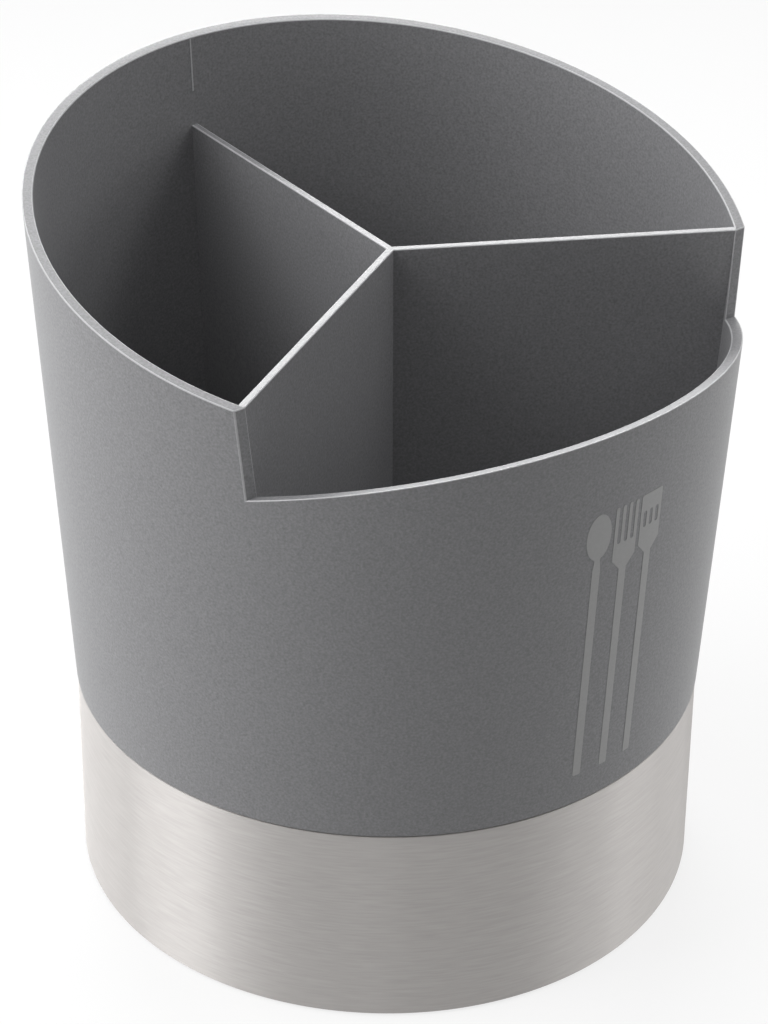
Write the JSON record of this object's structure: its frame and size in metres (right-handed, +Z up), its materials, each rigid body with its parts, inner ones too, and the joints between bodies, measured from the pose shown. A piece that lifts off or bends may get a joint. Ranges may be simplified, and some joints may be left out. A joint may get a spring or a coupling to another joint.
{
  "type": "utensil crock",
  "caption": "Round tapered crock for kitchen utensils, with a slanted rim, a lowered front, a three-way divider and a steel band round its foot.",
  "frame": {"origin": "centre of the base, on the plane that the feet stand on", "axes": "+Z up, the lowered front rim faces -Y, the highest point of the rim is at +Y, right and left mirror each other in the YZ plane"},
  "size_m": [0.151, 0.1508, 0.17],
  "materials": {
    "body_plastic": "moulded mid-grey polypropylene, fine matt texture",
    "band_steel": "stainless sheet, brushed round the band",
    "cap_plastic": "moulded dark grey, matt",
    "foot_rubber": "soft thermoplastic rubber, matt"
  },
  "bodies": {
    "root": {"crock_body": "body_plastic", "steel_band": "band_steel", "base_cap": "cap_plastic", "foot_front_left": "foot_rubber", "foot_front_right": "foot_rubber", "foot_rear_left": "foot_rubber", "foot_rear_right": "foot_rubber"}
  },
  "joints": []
}
